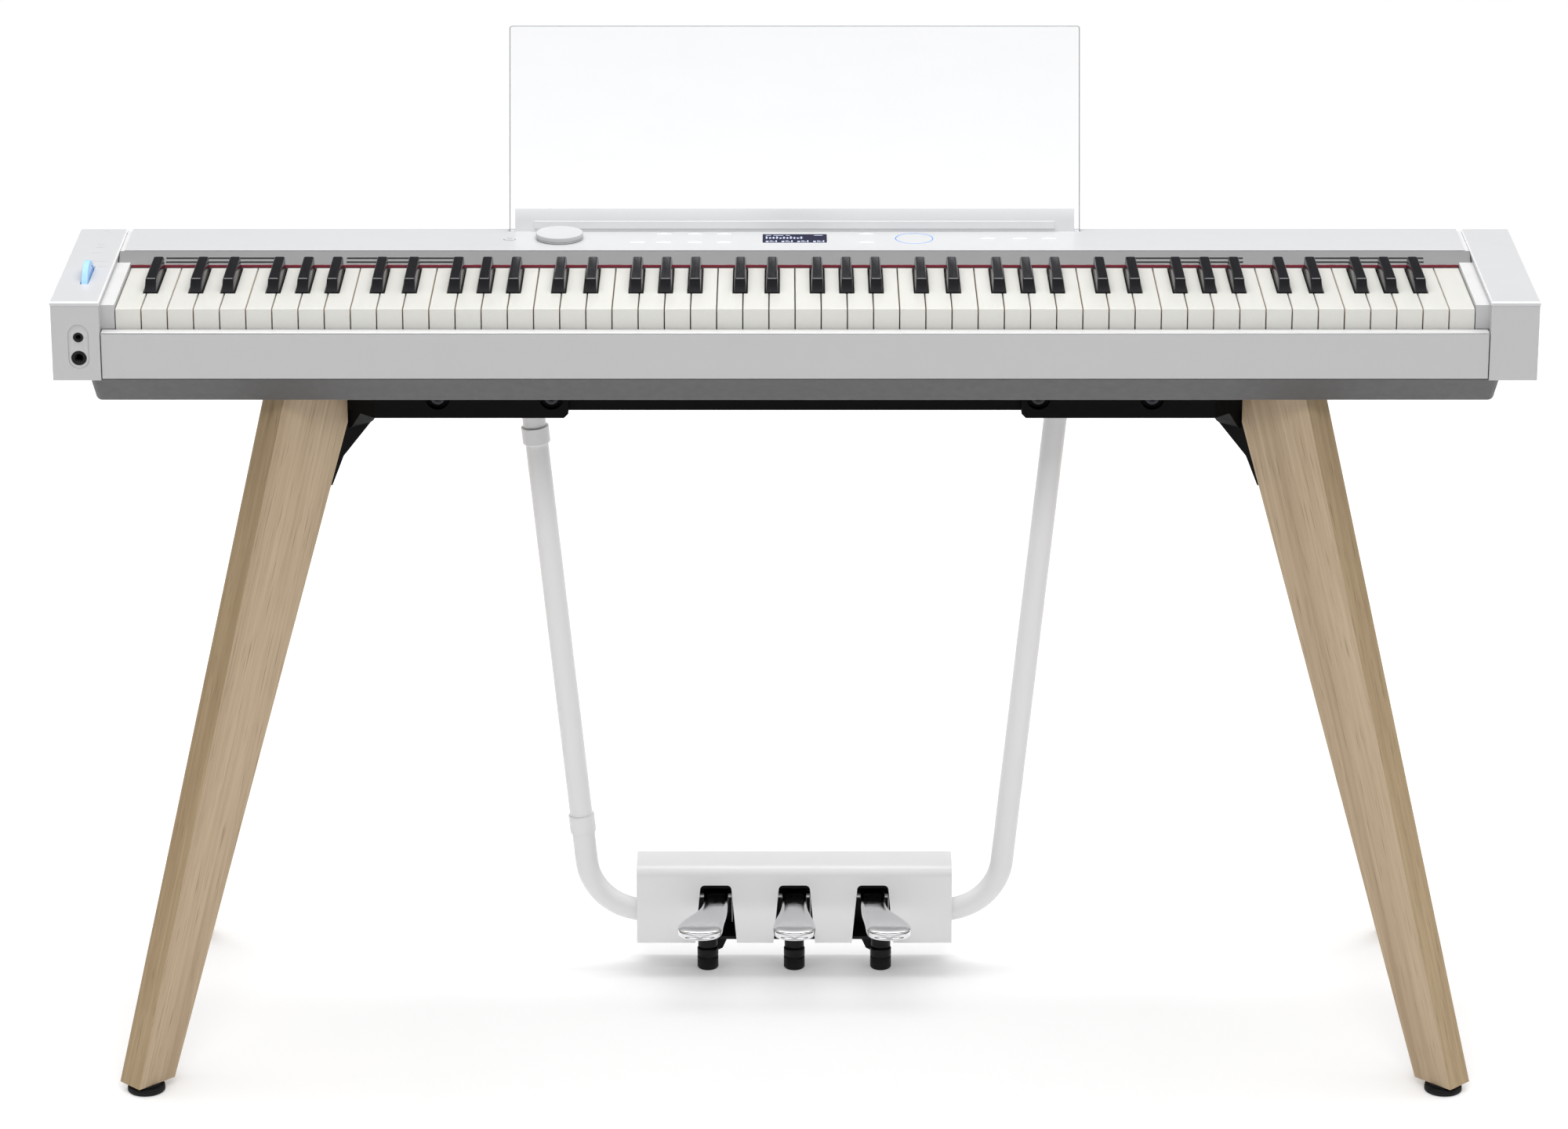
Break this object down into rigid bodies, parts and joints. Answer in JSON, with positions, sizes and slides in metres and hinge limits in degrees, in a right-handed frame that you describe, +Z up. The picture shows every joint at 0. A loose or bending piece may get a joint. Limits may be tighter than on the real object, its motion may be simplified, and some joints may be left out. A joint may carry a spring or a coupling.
{
  "type": "digital piano on stand",
  "caption": "Slim white digital piano with weighted keys and a clear music rest, on a splayed wooden four-leg stand with a triple pedal unit.",
  "frame": {"origin": "on the floor below the middle of the instrument", "axes": "+X to the player's right, +Y away from the player, +Z up"},
  "size_m": [1.34, 0.4288, 0.9226],
  "materials": {
    "white_satin": "satin white moulding",
    "white_gloss": "high gloss white",
    "grey_plastic": "fine matt grey",
    "black_plastic": "matt black",
    "key_white": "warm white, fine grain",
    "key_black": "satin black",
    "red_felt": "dark red felt",
    "display_glass": "dark display glass",
    "blue_light": "lit translucent blue",
    "circuit": "green laminate",
    "clear_acrylic": "clear polished",
    "steel": "plain",
    "chrome": "polished",
    "oak": "light oak, open grain, matt lacquer",
    "black_rubber": "black",
    "black_casting": "black powder coat",
    "white_tube": "white powder coat"
  },
  "bodies": {
    "case_and_stand": {"lower_case": "grey_plastic", "key_slip": "white_satin", "left_end_block": "white_satin", "right_end_block": "white_satin", "left_end_cap": "white_gloss", "right_end_cap": "white_gloss", "jack_plate": "white_satin", "headphone_jacks": "black_plastic", "top_panel": "white_gloss", "grille_rail": "white_satin", "felt_strip": "red_felt", "display_window": "display_glass", "touch_ring": "blue_light", "circuit_board": "circuit", "rear_cover": "white_satin", "connector_plate": "black_plastic", "speakers": "black_plastic", "key_chassis": "black_plastic", "key_pivot_rod": "steel", "front_right_leg": "oak", "front_left_leg": "oak", "rear_right_leg": "oak", "rear_left_leg": "oak", "leg_feet": "black_rubber", "right_bracket": "black_casting", "left_bracket": "black_casting", "bracket_screws": "steel", "case_screws": "steel", "leg_bolts": "steel", "cross_rail": "black_casting", "right_pedal_tube": "white_tube", "left_pedal_tube": "white_tube", "tube_clips": "white_satin", "pedal_housing": "white_satin", "pedal_base": "black_plastic", "pedal_shaft": "steel", "pedal_springs": "steel"},
    "pitch_wheel": {"pitch_wheel": "blue_light"},
    "control_dial": {"control_dial": "white_gloss"},
    "power_button": {"power_button": "white_gloss"},
    "music_rest": {"music_rest": "clear_acrylic", "music_rest_ledge": "clear_acrylic"},
    "left_pedal": {"left_pedal": "chrome"},
    "centre_pedal": {"centre_pedal": "chrome"},
    "right_pedal": {"right_pedal": "chrome"},
    "left_adjuster": {"left_adjuster": "black_rubber"},
    "centre_adjuster": {"centre_adjuster": "black_rubber"},
    "right_adjuster": {"right_adjuster": "black_rubber"},
    "keys_c": {"keys_c": "key_white"},
    "keys_d": {"keys_d": "key_white"},
    "keys_e": {"keys_e": "key_white"},
    "keys_f": {"keys_f": "key_white"},
    "keys_g": {"keys_g": "key_white"},
    "keys_a": {"keys_a": "key_white"},
    "keys_b": {"keys_b": "key_white"},
    "keys_c_sharp": {"keys_c_sharp": "key_black"},
    "keys_d_sharp": {"keys_d_sharp": "key_black"},
    "keys_f_sharp": {"keys_f_sharp": "key_black"},
    "keys_g_sharp": {"keys_g_sharp": "key_black"},
    "keys_a_sharp": {"keys_a_sharp": "key_black"}
  },
  "joints": [
    {"name": "keys_c_press", "type": "hinge", "parent": "case_and_stand", "child": "keys_c", "pos_m": [0, 0.076, 0.716], "axis": [1, 0, 0], "range_deg": [0, 3.1], "stiffness_Nm_per_rad": 6, "springref_deg": -14.32},
    {"name": "keys_d_press", "type": "hinge", "parent": "case_and_stand", "child": "keys_d", "pos_m": [0, 0.076, 0.716], "axis": [1, 0, 0], "range_deg": [0, 3.1], "stiffness_Nm_per_rad": 6, "springref_deg": -14.32},
    {"name": "keys_e_press", "type": "hinge", "parent": "case_and_stand", "child": "keys_e", "pos_m": [0, 0.076, 0.716], "axis": [1, 0, 0], "range_deg": [0, 3.1], "stiffness_Nm_per_rad": 6, "springref_deg": -14.32},
    {"name": "keys_f_press", "type": "hinge", "parent": "case_and_stand", "child": "keys_f", "pos_m": [0, 0.076, 0.716], "axis": [1, 0, 0], "range_deg": [0, 3.1], "stiffness_Nm_per_rad": 6, "springref_deg": -14.32},
    {"name": "keys_g_press", "type": "hinge", "parent": "case_and_stand", "child": "keys_g", "pos_m": [0, 0.076, 0.716], "axis": [1, 0, 0], "range_deg": [0, 3.1], "stiffness_Nm_per_rad": 6, "springref_deg": -14.32},
    {"name": "keys_a_press", "type": "hinge", "parent": "case_and_stand", "child": "keys_a", "pos_m": [0, 0.076, 0.716], "axis": [1, 0, 0], "range_deg": [0, 3.1], "stiffness_Nm_per_rad": 6, "springref_deg": -14.32},
    {"name": "keys_b_press", "type": "hinge", "parent": "case_and_stand", "child": "keys_b", "pos_m": [0, 0.076, 0.716], "axis": [1, 0, 0], "range_deg": [0, 3.1], "stiffness_Nm_per_rad": 6, "springref_deg": -14.32},
    {"name": "keys_c_sharp_press", "type": "hinge", "parent": "case_and_stand", "child": "keys_c_sharp", "pos_m": [0, 0.076, 0.716], "axis": [1, 0, 0], "range_deg": [0, 3.1], "stiffness_Nm_per_rad": 6, "springref_deg": -14.32},
    {"name": "keys_d_sharp_press", "type": "hinge", "parent": "case_and_stand", "child": "keys_d_sharp", "pos_m": [0, 0.076, 0.716], "axis": [1, 0, 0], "range_deg": [0, 3.1], "stiffness_Nm_per_rad": 6, "springref_deg": -14.32},
    {"name": "keys_f_sharp_press", "type": "hinge", "parent": "case_and_stand", "child": "keys_f_sharp", "pos_m": [0, 0.076, 0.716], "axis": [1, 0, 0], "range_deg": [0, 3.1], "stiffness_Nm_per_rad": 6, "springref_deg": -14.32},
    {"name": "keys_g_sharp_press", "type": "hinge", "parent": "case_and_stand", "child": "keys_g_sharp", "pos_m": [0, 0.076, 0.716], "axis": [1, 0, 0], "range_deg": [0, 3.1], "stiffness_Nm_per_rad": 6, "springref_deg": -14.32},
    {"name": "keys_a_sharp_press", "type": "hinge", "parent": "case_and_stand", "child": "keys_a_sharp", "pos_m": [0, 0.076, 0.716], "axis": [1, 0, 0], "range_deg": [0, 3.1], "stiffness_Nm_per_rad": 6, "springref_deg": -14.32},
    {"name": "left_pedal_press", "type": "hinge", "parent": "case_and_stand", "child": "left_pedal", "pos_m": [-0.0762, 0.107, 0.07], "axis": [1, 0, 0], "range_deg": [0, 8], "stiffness_Nm_per_rad": 8, "springref_deg": -8.59},
    {"name": "centre_pedal_press", "type": "hinge", "parent": "case_and_stand", "child": "centre_pedal", "pos_m": [0, 0.107, 0.07], "axis": [1, 0, 0], "range_deg": [0, 8], "stiffness_Nm_per_rad": 8, "springref_deg": -8.59},
    {"name": "right_pedal_press", "type": "hinge", "parent": "case_and_stand", "child": "right_pedal", "pos_m": [0.0762, 0.107, 0.07], "axis": [1, 0, 0], "range_deg": [0, 8], "stiffness_Nm_per_rad": 8, "springref_deg": -8.59},
    {"name": "pitch_wheel_turn", "type": "hinge", "parent": "case_and_stand", "child": "pitch_wheel", "pos_m": [-0.6455, -0.034, 0.7205], "axis": [1, 0, 0], "range_deg": [-25, 25], "stiffness_Nm_per_rad": 0.3},
    {"name": "control_dial_turn", "type": "hinge", "parent": "case_and_stand", "child": "control_dial", "pos_m": [-0.2195, 0.088, 0.74], "axis": [0, 0, 1], "continuous": true},
    {"name": "power_button_press", "type": "slide", "parent": "case_and_stand", "child": "power_button", "axis": [0, 0, -1], "range_m": [0, 0.0008], "stiffness_N_per_m": 800, "springref_m": -0.0005},
    {"name": "music_rest_lift", "type": "slide", "parent": "case_and_stand", "child": "music_rest", "axis": [0, 0.3256, 0.9455], "range_m": [0, 0.02]},
    {"name": "left_adjuster_turn", "type": "hinge", "parent": "case_and_stand", "child": "left_adjuster", "pos_m": [-0.0843, 0.092, 0], "axis": [0, 0, 1], "continuous": true},
    {"name": "centre_adjuster_turn", "type": "hinge", "parent": "case_and_stand", "child": "centre_adjuster", "pos_m": [0, 0.092, 0], "axis": [0, 0, 1], "continuous": true},
    {"name": "right_adjuster_turn", "type": "hinge", "parent": "case_and_stand", "child": "right_adjuster", "pos_m": [0.0843, 0.092, 0], "axis": [0, 0, 1], "continuous": true}
  ]
}
